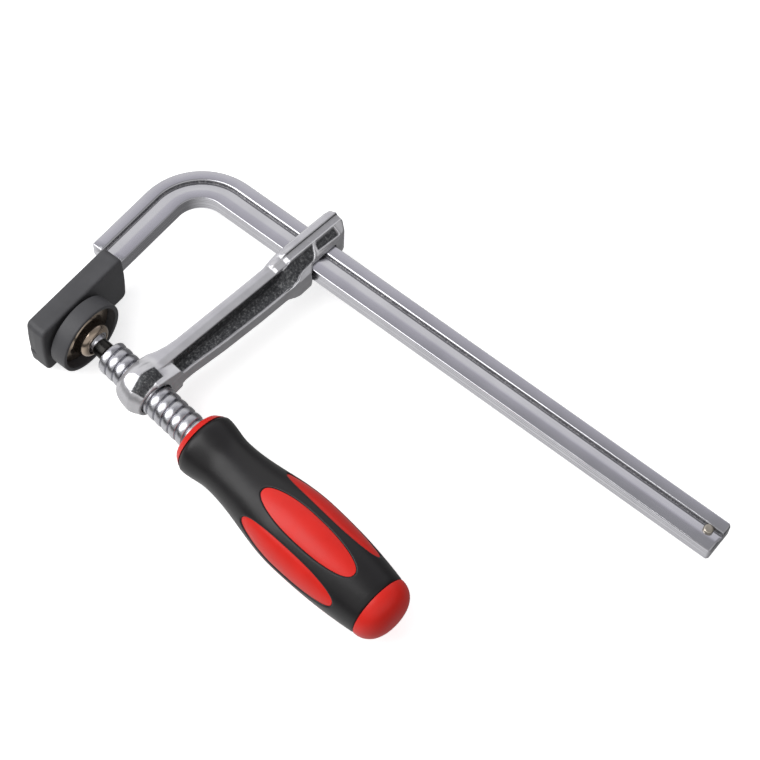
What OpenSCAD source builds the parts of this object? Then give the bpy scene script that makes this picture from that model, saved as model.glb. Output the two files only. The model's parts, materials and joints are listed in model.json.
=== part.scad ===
// F clamp: a grooved steel bar bent into a fixed jaw, a forged arm that slides along it,
// and a screw spindle with a swivelling pad and a two-colour handle.
// Frame: origin at the centre of the fixed jaw's clamping face, +X the way the clamp opens,
// +Y from the spindle towards the bar, +Z square to the plane of the clamp.

/* [Bar] */
// Width of the bar across its grooved face
bar_w = 17; // [15:0.5:18]
// Thickness of the bar
bar_t = 8.9; // [8:0.1:9.2]
// Distance from the clamping plane to the bar's free end
bar_reach = 290; // [150:5:600]
// Distance from the spindle's ball to the bar's inner face
throat = 90.5; // [88:0.5:93]
// Outer radius of the bend
bend_outer = 34; // [30:1:36]
// Inner radius of the bend
bend_inner = 13.5; // [10:0.5:16]
// Width of the groove at its mouth
groove_w = 5.8; // [4:0.2:7]
// Depth of the groove
groove_depth = 1.6; // [1:0.1:2]
// Chamfer around the free end
end_chamfer = 1; // [0.4:0.1:1.4]
// Diameter of the stop pin
pin_d = 4.8; // [3:0.1:5]
// Height that the stop pin stands above the bar's face
pin_proud = 1; // [0.6:0.1:1.4]
// Distance from the stop pin to the free end
pin_inset = 6.8; // [5:0.1:10]

/* [Fixed jaw] */
// Distance from the clamping plane back to the jaw's inner face
jaw_setback = 4.5; // [4:0.1:5]
// Height above the spindle at which the jaw's full section ends
jaw_end_y = 36; // [35:0.5:40]
// Thickness of the jaw cap from the clamping face to its back
cap_depth = 10.9; // [10:0.1:11.5]
// Half width of the jaw cap
cap_half_z = 16.3; // [15:0.1:18]
// Lowest point of the jaw cap, below the spindle
cap_low_y = -20.1; // [-21:0.1:-18]
// Highest point of the jaw cap, above the spindle
cap_high_y = 34.5; // [31:0.1:34.8]
// Wall of the jaw cap
cap_wall = 1.9; // [1.6:0.1:2.2]
// Corner radius of the jaw cap
cap_corner = 2.6; // [2:0.1:4]
// How far the jaw cap's two ends bulge
cap_bulge = 0.9; // [0.5:0.1:1.2]

/* [Sliding arm] */
// Lean of the slack arm away from square
arm_lean = 6.14; // [5.6:0.02:6.3]
// Distance from the spindle's ball to the middle of the arm's boss
boss_station = 34.7; // [33:0.1:36]
// Length of the boss along the spindle
boss_len = 16; // [14:0.5:18]
// Largest radius of the boss
boss_r = 12.5; // [12:0.1:13.5]
// Radius of the boss at its two ends
boss_end_r = 10; // [9.6:0.1:11]
// Half width of the arm's flange
flange_half_z = 9.5; // [8:0.1:10.5]
// Half width of the arm's head
head_half_z = 12.5; // [11.5:0.1:13.5]
// Height of the head's top above the spindle
head_top = 122.6; // [121:0.1:126]

/* [Spindle] */
// Distance from the clamping plane to the centre of the ball
ball_x = 11; // [11:0.1:12]
// Radius of the ball
ball_r = 5.6; // [5.4:0.05:5.7]
// Radius of the neck behind the ball
neck_r = 4.3; // [3.6:0.1:4.4]
// Crest radius of the thread
crest_r = 8.1; // [7.8:0.05:8.2]
// Root radius of the thread
root_r = 6.7; // [6.4:0.05:6.9]
// Pitch of the thread
pitch = 4.6; // [4.2:0.1:5]
// Radial and flank clearance of the thread in the boss
thread_gap = 0.32; // [0.3:0.01:0.36]

/* [Pad] */
// Gap between the pad and the fixed jaw
pad_gap = 2.05; // [2.05:0.05:2.4]
// Outer radius of the pad
pad_r = 18.2; // [16:0.1:19]
// Distance from the clamping plane to the pad's open rim
pad_rim_x = 10.6; // [10:0.1:12]
// Wall of the pad's plastic cap
pad_wall = 2; // [1.6:0.1:2.4]

/* [Handle] */
// Distance from the ball to the handle's front
handle_front = 70.2; // [66:0.1:72]
// Length of the handle
handle_len = 123.7; // [118:0.1:130]
// Largest radius of the handle
handle_r = 19.3; // [18.5:0.1:20]
// Radius of the handle's waist
waist_r = 13.8; // [13:0.1:14.5]
// Thickness of the soft grip over the hard core
grip_t = 1.8; // [1.4:0.1:2.2]
// Number of windows in the soft grip
windows = 6; // [3:1:6]

/* [Hidden] */
fine = 96;
slip = 0.05;

// Bar and jaw
bar_mid_y = throat + bar_w / 2;
bar_top_y = throat + bar_w;
jaw_in_x = -jaw_setback;
jaw_out_x = jaw_in_x - bar_w;
bend_x = jaw_out_x + bend_outer;
bend_y = bar_top_y - bend_outer;
groove_r = bend_outer - bar_w / 2;
groove_floor = groove_w * 0.35;
pin_x = bar_reach - pin_inset;
neck_x = [-14, -jaw_setback];
foot_x = [-cap_depth + cap_wall + 0.1, -cap_wall - 0.1];
foot_y = [cap_low_y + cap_wall + 0.1, cap_high_y - cap_wall - 0.1];
foot_half_z = cap_half_z - cap_wall - 0.1;
slit_z = -7;

// Arm, in its own frame: x along the spindle, y towards the bar, origin at the boss
slot_mid = (bar_mid_y + boss_station * sin(arm_lean)) / cos(arm_lean);
head_back = -4.7;
head_front = 8;
lobe_front = 11.8;
slot_low = slot_mid - bar_w / 2 / cos(arm_lean) - (-head_back) * tan(arm_lean) - 0.25;
slot_high = slot_mid + bar_w / 2 / cos(arm_lean) + lobe_front * tan(arm_lean) + 0.25;
slot_half_z = bar_t / 2 + 0.35;
head_foot = 80;
web_half_z = 2.6;
rim_half_z = 3.8;
rim_w = 1.2;

// Spindle and handle stations, measured from the ball's centre
thread_start = 8.4;
thread_full = 14.2;
shank_r = 5.2;
shank_end = handle_front + 88;
core_front_r = 13;
flare_at = handle_front + 4.6;
flare_r = 15.8;
grip_start = handle_front + 3.2;
waist_at = handle_front + 20;
bulge_at = handle_front + 67;
grip_end = handle_front + 113.5;
grip_end_r = 15.4;
handle_end = handle_front + handle_len;
window_mid = handle_front + 72.5;
window_half_len = 28;
window_half_w = 7.1;
window_sides = 20;

module rounded_rect(size, r) {
    square([size.x, size.y - 2 * r], center = true);
    square([size.x - 2 * r, size.y], center = true);
    for (sx = [-1, 1], sy = [-1, 1])
        translate([sx * (size.x / 2 - r), sy * (size.y / 2 - r)]) circle(r, $fn = fine);
}

// Turns +Z onto +X, so that revolved shapes lie along X
module along_x() { rotate([0, 90, 0]) children(); }

// Places a shape that lies along X from the ball onto the leaning spindle axis
module on_spindle() { translate([ball_x, 0, 0]) rotate([0, 0, -arm_lean]) children(); }

// Places a shape in the arm's own frame
module on_arm() { on_spindle() translate([boss_station, 0, 0]) children(); }

// ---- Bar ----

// Plan of the bar: straight run, bend and jaw, with its own inner and outer radius
module bar_plan() {
    difference() {
        union() {
            translate([bend_x, throat]) square([bar_reach - bend_x, bar_w]);
            translate([jaw_out_x, jaw_end_y]) square([bar_w, bend_y - jaw_end_y]);
            intersection() {
                translate([jaw_out_x, bend_y]) square(bend_outer);
                translate([bend_x, bend_y]) circle(bend_outer, $fn = 2 * fine);
            }
        }
        translate([jaw_in_x, jaw_end_y - 1]) square([60, throat - bend_inner - jaw_end_y + 1]);
        translate([jaw_in_x + bend_inner, jaw_end_y - 1]) square([60, throat - jaw_end_y + 1]);
        translate([jaw_in_x + bend_inner, throat - bend_inner]) circle(bend_inner, $fn = fine);
    }
}

// Cross-section of one groove: x across it, y up out of the bar's face
module groove_section() {
    polygon([[-groove_w / 2 - 0.3, 0.2], [-groove_w / 2, 0], [-groove_floor / 2, -groove_depth],
             [groove_floor / 2, -groove_depth], [groove_w / 2, 0], [groove_w / 2 + 0.3, 0.2]]);
}

// The groove of the upper face, along the jaw, around the bend and out of the free end
module groove_path() {
    translate([bend_x, bar_mid_y, bar_t / 2]) rotate([90, 0, 90])
        linear_extrude(bar_reach - bend_x + 1) groove_section();
    translate([bend_x, bend_y, bar_t / 2]) rotate([0, 0, 90])
        rotate_extrude(angle = 90, $fn = fine) translate([groove_r, 0]) groove_section();
    translate([(jaw_in_x + jaw_out_x) / 2, bend_y, bar_t / 2]) rotate([90, 0, 0])
        linear_extrude(bend_y - jaw_end_y + 1) groove_section();
}

// Everything beyond a chamfer on one edge of the free end, turned about X
module end_chamfer_cut(turn, half) {
    translate([bar_reach, bar_mid_y, 0]) rotate([turn, 0, 0]) translate([0, half, 0])
        rotate([0, 0, 45]) cube([end_chamfer * sqrt(2), 40, 40], center = true);
}

// Flat forged foot of the jaw, with the rib that carries it
module jaw_foot() {
    translate([foot_x[0], foot_y[0], -foot_half_z])
        cube([foot_x[1] - foot_x[0], foot_y[1] - foot_y[0], 2 * foot_half_z]);
    linear_extrude(bar_t, center = true)
        polygon([[neck_x[0], jaw_end_y + 1], [neck_x[0], jaw_end_y - 6], [foot_x[0] - 1.5, 4],
                 [foot_x[0] + 1, 0], [neck_x[1], 0], [neck_x[1], jaw_end_y + 1]]);
}

module bar() {
    color("silver") difference() {
        union() {
            linear_extrude(bar_t, center = true) bar_plan();
            jaw_foot();
        }
        groove_path();
        mirror([0, 0, 1]) groove_path();
        for (turn = [0, 180]) end_chamfer_cut(turn, bar_w / 2);
        for (turn = [90, 270]) end_chamfer_cut(turn, bar_t / 2);
        translate([pin_x, bar_mid_y, 0]) cylinder(h = bar_t + 2, d = pin_d + 0.02, center = true, $fn = fine);
    }
}

module stop_pin() {
    color("lightgray") translate([pin_x, bar_mid_y, 0]) rotate_extrude($fn = fine) polygon([
        [0, -bar_t / 2 - pin_proud], [pin_d / 2 - 0.7, -bar_t / 2 - pin_proud],
        [pin_d / 2, -bar_t / 2 - pin_proud + 0.5], [pin_d / 2, bar_t / 2 + pin_proud - 0.5],
        [pin_d / 2 - 0.7, bar_t / 2 + pin_proud], [0, bar_t / 2 + pin_proud]]);
}

// ---- Jaw cap ----

// Outline of the jaw cap, a rounded rectangle between two shallow arcs
module cap_outline() {
    half_y = (cap_high_y - cap_low_y) / 2;
    end_r = (pow(cap_half_z, 2) + pow(cap_bulge, 2)) / (2 * cap_bulge);
    intersection() {
        rounded_rect([2 * cap_half_z, 2 * half_y], cap_corner);
        translate([0, end_r - half_y]) circle(end_r, $fn = 4 * fine);
        translate([0, half_y - end_r]) circle(end_r, $fn = 4 * fine);
    }
}

module jaw_cap() {
    cap_mid_y = (cap_low_y + cap_high_y) / 2;
    color("dimgray") difference() {
        translate([-cap_depth, cap_mid_y, 0]) along_x() linear_extrude(cap_depth) cap_outline();
        // room for the foot
        translate([foot_x[0] - 0.1, foot_y[0] - 0.1, -foot_half_z - 0.1])
            cube([foot_x[1] - foot_x[0] + 0.2, foot_y[1] - foot_y[0] + 0.2, 2 * foot_half_z + 0.2]);
        // channel that lets the cap slide on past the rib and the jaw
        translate([-cap_depth - 1, -0.3, -bar_t / 2 - 0.15])
            cube([cap_depth + 1 + neck_x[1] + 0.2, cap_high_y + 2, bar_t + 0.3]);
        // slit that lets the end flex
        translate([-cap_depth - 1, cap_low_y - 1, slit_z - 0.35]) cube([3.4, 2.2, 0.7]);
    }
}

// ---- Sliding arm ----

// Section of the head, x along the spindle and z square to the clamp
module head_section(front, front_half_z) {
    polygon([[head_back, -head_half_z], [-0.7, -head_half_z], [front, -front_half_z],
             [front, front_half_z], [-0.7, head_half_z], [head_back, head_half_z]]);
}

// Extrudes an x-z section along the arm between two heights
module up_arm(low, high) {
    translate([0, high, 0]) rotate([90, 0, 0]) linear_extrude(high - low) children();
}

// Flange on the jaw side: wide, with sloping inner faces
module arm_flange() {
    up_arm(5, head_foot + 3) polygon([
        [-4.9, -flange_half_z], [-1.4, -flange_half_z], [1.2, -web_half_z], [1.2, web_half_z],
        [-1.4, flange_half_z], [-4.9, flange_half_z]]);
}

// Shoulder that spreads the flange over the length of the boss
module arm_shoulder() {
    linear_extrude(2 * flange_half_z - 2, center = true)
        polygon([[-boss_len / 2 + 0.3, 0], [-4, 0], [-4, 20], [-4.9, 20], [-boss_len / 2 + 0.3, 9.5]]);
}

// Outline of the web, which deepens from the boss to the head
module web_plan() {
    polygon([[-4, 5], [9, 5], [9, 16], [9.8, 30], [11.4, 60], [11.4, head_foot + 2], [-4, head_foot + 2]]);
}

module arm_web() {
    linear_extrude(2 * web_half_z, center = true) web_plan();
    linear_extrude(2 * rim_half_z, center = true) polygon([
        [9 - rim_w, 8], [9, 8], [9, 16], [9.8, 30], [11.4, 60], [11.4, head_foot + 2],
        [11.4 - rim_w, head_foot + 2], [11.4 - rim_w, 60], [9.8 - rim_w, 30], [9 - rim_w, 16]]);
}

module arm_boss() {
    along_x() rotate_extrude($fn = fine) polygon([
        [0, -boss_len / 2], [boss_end_r, -boss_len / 2], [(boss_end_r + boss_r) / 2, -boss_len * 0.35],
        [boss_r, 0], [boss_r, boss_len / 7], [boss_end_r, boss_len / 2], [0, boss_len / 2]]);
}

module arm_head() {
    intersection() {
        union() {
            up_arm(head_foot, head_top) head_section(head_front, slot_half_z + 1.6);
            up_arm(head_foot, slot_low + 4) head_section(lobe_front, slot_half_z + 3.4);
        }
        translate([-20, head_top - 12, 0]) along_x() cylinder(h = 60, r = 17.5, $fn = fine);
    }
    intersection() {
        up_arm(head_foot, slot_low + 8) head_section(lobe_front, slot_half_z + 3.4);
        translate([0, slot_low - 2, 0]) rotate([90, 0, 0])
            cylinder(h = 34, r = 17, center = true, $fn = fine);
    }
}

module sliding_arm() {
    color("gainsboro") on_arm() difference() {
        union() {
            arm_flange();
            arm_shoulder();
            arm_web();
            arm_boss();
            arm_head();
        }
        translate([-20, slot_low, -slot_half_z]) cube([40, slot_high - slot_low, 2 * slot_half_z]);
        translate([-boss_station, 0, 0]) along_x()
            thread_body(boss_station - boss_len / 2 - 1.5, boss_station + boss_len / 2 + 1.5,
                        root_r + thread_gap, crest_r + thread_gap, thread_gap);
    }
}

// ---- Thread ----

thread_steps = 24;
root_flat = 0.18;
crest_flat = 0.34;

// Columns of the thread's surface within one turn: [fraction of the pitch, 0 at root and 1 at crest]
function thread_columns(spread) = [
    [spread, 0], [root_flat - spread, 0], [(1 - crest_flat + root_flat) / 2 - spread, 1],
    [(1 + crest_flat + root_flat) / 2 + spread, 1]];

// A right-handed threaded body around Z between two heights; spread widens the crests
module thread_body(from, to, low_r, high_r, gap) {
    spread = gap / pitch;
    columns = thread_columns(spread);
    first = floor(from / pitch) - 1;
    turns = ceil(to / pitch) - first;
    count = 4 * turns + 1;
    function ring_z(step, m) = (first + floor(m / 4) + columns[m % 4][0] + step / thread_steps) * pitch;
    function ring_r(m) = columns[m % 4][1] == 0 ? low_r : high_r;
    points = concat(
        [for (step = [0 : thread_steps - 1], m = [0 : count + 3])
            [ring_r(m) * cos(360 * step / thread_steps), ring_r(m) * sin(360 * step / thread_steps),
             ring_z(step, m)]],
        [[0, 0, ring_z(0, 0)], [0, 0, ring_z(0, count + 3)]]);
    wide = count + 4;
    function at(step, m) = (step % thread_steps) * wide + m + (step == thread_steps ? 4 : 0);
    bottom = len(points) - 2;
    top = len(points) - 1;
    sides = [for (step = [0 : thread_steps - 1], m = [0 : count - 2])
        each [[at(step, m), at(step + 1, m + 1), at(step + 1, m)],
              [at(step, m), at(step, m + 1), at(step + 1, m + 1)]]];
    foot_cap = concat(
        [for (step = [0 : thread_steps - 1]) [bottom, at(step, 0), at(step + 1, 0)]],
        [for (m = [0 : 3]) [bottom, at(0, m + 1), at(0, m)]]);
    head_cap = concat(
        [for (step = [0 : thread_steps - 1]) [top, at(step + 1, count - 1), at(step, count - 1)]],
        [for (m = [0 : 3]) [top, at(0, count - 1 + m), at(0, count + m)]]);
    intersection() {
        polyhedron(points = points, faces = concat(sides, foot_cap, head_cap), convexity = 10);
        translate([0, 0, from]) cylinder(h = to - from, r = high_r + 2, $fn = fine);
    }
}

// ---- Spindle ----

module spindle() {
    color("silver") on_spindle() along_x() {
        // threaded length, tapered at its start
        intersection() {
            thread_body(thread_start - 1, handle_front + 1, root_r, crest_r, 0);
            rotate_extrude($fn = fine) polygon([
                [0, thread_start], [neck_r, thread_start], [crest_r + 0.5, thread_full],
                [crest_r + 0.5, handle_front + 0.5], [0, handle_front + 0.5]]);
        }
        sphere(ball_r, $fn = fine);
        cylinder(h = thread_start + 2, r = neck_r, $fn = fine);
        translate([0, 0, handle_front - 3])
            cylinder(h = shank_end - handle_front + 3, r = shank_r, $fn = fine);
    }
}

// Split spring ring that lies in the socket behind the ball's widest place
module ball_retaining_ring() {
    color("darkgray") on_spindle() along_x() difference() {
        rotate_extrude($fn = fine) intersection() {
            difference() {
                circle(ring_outer_r, $fn = fine);
                circle(ball_r + 0.1, $fn = fine);
            }
            translate([0, 0.9]) square([20, 1.5]);
        }
        translate([ring_outer_r - 2, -0.6, 0]) cube([4, 1.2, 6]);
    }
}

// ---- Pad ----

plate_x = pad_gap + pad_wall + slip;
plate_r = pad_r - pad_wall - slip;
plate_t = 2.2;
collar_end = ball_x + 3.4;
collar_r = 8.7;
ring_outer_r = ball_r + 0.9;
socket_r = ring_outer_r + 0.1;
socket_floor = 0.5;

module pressure_plate() {
    color("tan") difference() {
        along_x() rotate_extrude($fn = fine) polygon([
            [0, plate_x], [plate_r, plate_x], [plate_r, plate_x + plate_t - 0.6],
            [plate_r - 1.5, plate_x + plate_t], [collar_r + 1.6, plate_x + plate_t],
            [collar_r + 0.3, plate_x + plate_t + 1.3], [collar_r, ball_x + 1],
            [collar_r - 1.7, collar_end], [0, collar_end]]);
        // seat for the ball, and the wider socket of the ring, open to the back
        translate([ball_x, 0, 0]) along_x() rotate_extrude($fn = fine) {
            intersection() {
                circle(ball_r + 0.12, $fn = fine);
                translate([0, -20]) square([20, 20 - socket_floor + 0.1]);
            }
            intersection() {
                circle(socket_r, $fn = fine);
                translate([0, -socket_floor]) square(20);
            }
        }
    }
}

module pad_cap() {
    color("gray") along_x() rotate_extrude($fn = fine) polygon([
        [0, pad_gap], [pad_r - 0.6, pad_gap], [pad_r, pad_gap + 0.6], [pad_r, pad_rim_x - 0.4],
        [pad_r - 0.4, pad_rim_x], [pad_r - pad_wall + 0.3, pad_rim_x], [pad_r - pad_wall, pad_rim_x - 0.3],
        [pad_r - pad_wall, pad_gap + pad_wall], [0, pad_gap + pad_wall]]);
}

// ---- Handle ----

// Eases from a to b as t goes from 0 to 1
function ease(a, b, t) = a + (b - a) * (1 - cos(180 * t)) / 2;

// Outer radius of the handle at a station
function handle_outline(s) =
    s < flare_at ? core_front_r + (flare_r - core_front_r) * (s - handle_front) / (flare_at - handle_front) :
    s < waist_at ? ease(flare_r, waist_r, (s - flare_at) / (waist_at - flare_at)) :
    s < bulge_at ? ease(waist_r, handle_r, (s - waist_at) / (bulge_at - waist_at)) :
    handle_r - (handle_r - grip_end_r) * pow((s - bulge_at) / (grip_end - bulge_at), 2);

stations = [flare_at, for (i = [1 : 4]) flare_at + i * (waist_at - flare_at) / 4,
            for (i = [1 : 8]) waist_at + i * (bulge_at - waist_at) / 8,
            for (i = [1 : 6]) bulge_at + i * (grip_end - bulge_at) / 6];

// The grip's whole envelope between its two ends, reduced all over by inset
module grip_envelope(inset) {
    rotate_extrude($fn = fine) polygon(concat(
        [[0, grip_start], [handle_outline(grip_start) - inset, grip_start]],
        [for (s = stations) [handle_outline(s) - inset, s]], [[0, grip_end]]));
}

// Outline of a window, long along x: an oval of flat sides, a little fuller than an ellipse
module window_outline(inset) {
    function full(v) = sign(v) * pow(abs(v), 0.85);
    polygon([for (i = [0 : window_sides - 1])
        [(window_half_len - inset) * full(cos(360 * (i + 0.5) / window_sides)),
         (window_half_w - inset) * full(sin(360 * (i + 0.5) / window_sides))]]);
}

// Bars of that outline that stand radially through the grip, shrunk all round by inset
module window_bars(inset) {
    for (i = [0 : windows - 1])
        rotate([0, 0, 360 / windows * i + 8]) translate([12.6, 0, window_mid]) rotate([0, 90, 0])
            linear_extrude(10) window_outline(inset);
}

module handle_core() {
    color("crimson") on_spindle() along_x() difference() {
        union() {
            rotate_extrude($fn = fine) polygon([
                [0, handle_front], [core_front_r, handle_front],
                [handle_outline(grip_start - slip), grip_start - slip], [0, grip_start - slip]]);
            grip_envelope_inner();
            intersection() {
                grip_envelope(0.1);
                window_bars(slip);
            }
            // domed end
            rotate_extrude($fn = fine) polygon(concat(
                [[0, grip_end + slip]],
                [for (i = [0 : 12]) [grip_end_r * pow(cos(7.5 * i), 0.72),
                                     grip_end + slip + (handle_end - grip_end - slip) * sin(7.5 * i)]]));
        }
        translate([0, 0, handle_front - 1])
            cylinder(h = shank_end - handle_front + 1 + slip, r = shank_r + 0.02, $fn = fine);
        translate([0, 0, handle_front - 1]) cylinder(h = 1.6, r = crest_r + 0.2, $fn = fine);
    }
}

// The core under the grip
module grip_envelope_inner() {
    rotate_extrude($fn = fine) polygon(concat(
        [[0, grip_start - 1], [handle_outline(grip_start) - grip_t - slip, grip_start - 1]],
        [for (s = stations) [handle_outline(s) - grip_t - slip, s]],
        [[grip_end_r - grip_t - slip, grip_end + 1], [0, grip_end + 1]]));
}

module handle_grip() {
    color("#2b2a2c") on_spindle() along_x() difference() {
        grip_envelope(0);
        rotate_extrude($fn = fine) polygon(concat(
            [[0, grip_start - 1], [handle_outline(grip_start) - grip_t, grip_start - 1]],
            [for (s = stations) [handle_outline(s) - grip_t, s]],
            [[grip_end_r - grip_t, grip_end + 1], [0, grip_end + 1]]));
        window_bars(0);
    }
}

bar();
stop_pin();
jaw_cap();
sliding_arm();
spindle();
ball_retaining_ring();
pressure_plate();
pad_cap();
handle_core();
handle_grip();
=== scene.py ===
"""F clamp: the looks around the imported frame. Pieces are written in millimetres and scaled by MM;
the camera, the light and the floor are placed in metres."""

import json
import math

import bpy
import numpy as np
from mathutils import Matrix, Vector


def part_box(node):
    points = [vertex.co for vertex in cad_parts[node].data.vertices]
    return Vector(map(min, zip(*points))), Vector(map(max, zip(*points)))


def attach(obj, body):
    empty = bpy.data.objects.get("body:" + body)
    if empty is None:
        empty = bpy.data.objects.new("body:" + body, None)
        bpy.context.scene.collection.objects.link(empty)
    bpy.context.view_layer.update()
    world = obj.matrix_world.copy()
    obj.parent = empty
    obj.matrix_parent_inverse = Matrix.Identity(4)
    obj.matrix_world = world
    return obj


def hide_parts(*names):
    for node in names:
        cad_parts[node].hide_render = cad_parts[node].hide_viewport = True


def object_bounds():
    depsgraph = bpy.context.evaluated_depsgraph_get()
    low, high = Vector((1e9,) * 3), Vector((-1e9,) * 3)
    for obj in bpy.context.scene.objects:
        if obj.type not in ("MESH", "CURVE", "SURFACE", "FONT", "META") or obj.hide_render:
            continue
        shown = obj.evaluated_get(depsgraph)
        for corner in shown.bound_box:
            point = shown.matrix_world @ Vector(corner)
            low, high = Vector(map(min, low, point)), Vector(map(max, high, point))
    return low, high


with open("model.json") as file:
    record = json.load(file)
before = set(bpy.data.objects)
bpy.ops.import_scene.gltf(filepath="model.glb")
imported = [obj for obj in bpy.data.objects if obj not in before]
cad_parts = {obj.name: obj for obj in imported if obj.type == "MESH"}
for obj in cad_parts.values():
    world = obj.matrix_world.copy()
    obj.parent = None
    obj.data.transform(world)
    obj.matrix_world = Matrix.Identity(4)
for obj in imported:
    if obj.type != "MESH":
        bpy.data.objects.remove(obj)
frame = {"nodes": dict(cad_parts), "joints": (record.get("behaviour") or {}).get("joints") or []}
cad_box = [list(corner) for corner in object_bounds()]

MM = 0.001
RNG_SEED = 7

# ---------------------------------------------------------------- camera and surroundings


def make_camera():
    """Camera at the photographed angle: above, from the handle's side, rolled a little."""
    azimuth, elevation, roll = math.radians(35.264), math.radians(61.294), math.radians(-3.9405)
    back = Vector((math.sin(azimuth) * math.cos(elevation),
                   -math.cos(azimuth) * math.cos(elevation), math.sin(elevation)))
    right = Vector((math.cos(azimuth), math.sin(azimuth), 0))
    up = back.cross(right)
    turned_right = math.cos(roll) * right - math.sin(roll) * up
    turned_up = math.sin(roll) * right + math.cos(roll) * up
    camera = bpy.data.objects.new("camera", bpy.data.cameras.new("camera"))
    camera.matrix_world = (Matrix.Translation((0.3991, -0.3205, 0.8671))
                           @ Matrix((turned_right, turned_up, back)).transposed().to_4x4())
    camera.data.lens = 103.37
    camera.data.sensor_width = 36
    camera.data.clip_start = 0.05
    bpy.context.scene.collection.objects.link(camera)
    bpy.context.scene.camera = camera


def make_softbox():
    """A rectangular softbox above the jaw and the handle, aimed at the middle of the clamp."""
    middle, distance = Vector((0.14, 0.03, 0)), 1.2
    toward = Vector((-0.50, -0.45, 0.74)).normalized()
    light = bpy.data.objects.new("front_softbox", bpy.data.lights.new("front_softbox", "AREA"))
    light.data.shape = "RECTANGLE"
    light.data.size, light.data.size_y = 0.8, 1.35
    light.data.energy = 9.5
    light.location = middle + toward * distance
    light.rotation_euler = toward.to_track_quat("Z", "Y").to_euler()
    bpy.context.scene.collection.objects.link(light)


def make_world():
    """The studio as the steel mirrors it: a room that is brighter behind the bar and dark at the
    horizon, over a table that is brighter on the handle's side. The backdrop itself is white."""
    world = bpy.data.worlds.new("studio")
    bpy.context.scene.world = world
    world.use_nodes = True
    tree = world.node_tree
    tree.nodes.clear()
    coordinates = tree.nodes.new("ShaderNodeTexCoord")

    def along(axis):
        """Where a direction lies along an axis, from 0 against it to 1 with it."""
        dot = tree.nodes.new("ShaderNodeVectorMath")
        dot.operation = "DOT_PRODUCT"
        dot.inputs[1].default_value = axis
        share = tree.nodes.new("ShaderNodeMath")
        share.operation = "MULTIPLY_ADD"
        share.inputs[1].default_value = share.inputs[2].default_value = 0.5
        tree.links.new(coordinates.outputs["Generated"], dot.inputs[0])
        tree.links.new(dot.outputs["Value"], share.inputs[0])
        return share.outputs[0]

    room = ramp(tree, along((-0.8, 0.6, 0.0)),
                [(0.22, 0.80), (0.36, 0.45), (0.50, 0.40), (0.68, (0.42, 0.42, 0.44)),
                 (0.73, (0.62, 0.61, 0.66)), (0.78, (0.80, 0.79, 0.84)), (0.84, 1.0)])
    horizon = ramp(tree, along((0.0, 0.0, 1.0)), [(0.56, 0.14), (0.67, 1.0)])
    table = ramp(tree, along((-0.7, -0.7, 0.0)), [(0.30, 0.26), (0.72, 1.0)])
    below = ramp(tree, along((0.0, 0.0, 1.0)), [(0.34, 1.0), (0.47, 0.0)])
    background = tree.nodes.new("ShaderNodeBackground")
    background.inputs["Strength"].default_value = 0.9
    output = tree.nodes.new("ShaderNodeOutputWorld")
    tree.links.new(mix_color(tree, below, multiply(tree, room, horizon), table), background.inputs["Color"])
    backdrop = tree.nodes.new("ShaderNodeBackground")
    backdrop.inputs["Color"].default_value = (1.0, 1.0, 1.0, 1.0)
    choose = tree.nodes.new("ShaderNodeMixShader")
    rays = tree.nodes.new("ShaderNodeLightPath")
    tree.links.new(rays.outputs["Is Camera Ray"], choose.inputs[0])
    tree.links.new(background.outputs[0], choose.inputs[1])
    tree.links.new(backdrop.outputs[0], choose.inputs[2])
    tree.links.new(choose.outputs[0], output.inputs[0])


def make_floor():
    """Pale floor just under the clamp's lowest point."""
    mesh = bpy.data.meshes.new("floor")
    half, level = 3.0, cad_box[0][2] - 0.0004
    mesh.from_pydata([(-half, -half, level), (half, -half, level), (half, half, level), (-half, half, level)],
                     [], [(0, 1, 2, 3)])
    floor = bpy.data.objects.new("floor", mesh)
    bpy.context.scene.collection.objects.link(floor)
    material, shader, _ = new_material("pale_floor")
    shader.inputs["Base Color"].default_value = (0.9, 0.9, 0.9, 1)
    shader.inputs["Roughness"].default_value = 0.9
    shader.inputs["Specular IOR Level"].default_value = 0.0
    shader.inputs["Emission Color"].default_value = (1, 1, 1, 1)
    shader.inputs["Emission Strength"].default_value = 0.62
    mesh.materials.append(material)
    floor.visible_diffuse = False
    floor.visible_glossy = False


# ---------------------------------------------------------------- materials


def new_material(name):
    """A new material with its shader and its node tree."""
    material = bpy.data.materials.new(name)
    material.use_nodes = True
    tree = material.node_tree
    return material, tree.nodes["Principled BSDF"], tree


def object_coordinates(tree, scale=(1, 1, 1)):
    """Object coordinates stretched by scale, as a socket."""
    coordinates = tree.nodes.new("ShaderNodeTexCoord")
    mapping = tree.nodes.new("ShaderNodeMapping")
    mapping.inputs["Scale"].default_value = scale
    tree.links.new(coordinates.outputs["Object"], mapping.inputs["Vector"])
    return mapping.outputs["Vector"]


def noise(tree, vector, scale, detail=4.0, roughness=0.55):
    """Noise texture over a vector, as a socket from 0 to 1."""
    texture = tree.nodes.new("ShaderNodeTexNoise")
    texture.inputs["Scale"].default_value = scale
    texture.inputs["Detail"].default_value = detail
    texture.inputs["Roughness"].default_value = roughness
    tree.links.new(vector, texture.inputs["Vector"])
    return texture.outputs["Fac"]


def ramp(tree, factor, stops):
    """Colour ramp from (position, colour) stops; a grey may be a single number."""
    node = tree.nodes.new("ShaderNodeValToRGB")
    elements = node.color_ramp.elements
    while len(elements) < len(stops):
        elements.new(0.5)
    for element, (position, color) in zip(elements, stops):
        element.position = position
        element.color = (color, color, color, 1) if isinstance(color, float) else (*color, 1)
    tree.links.new(factor, node.inputs["Fac"])
    return node.outputs["Color"]


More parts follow.
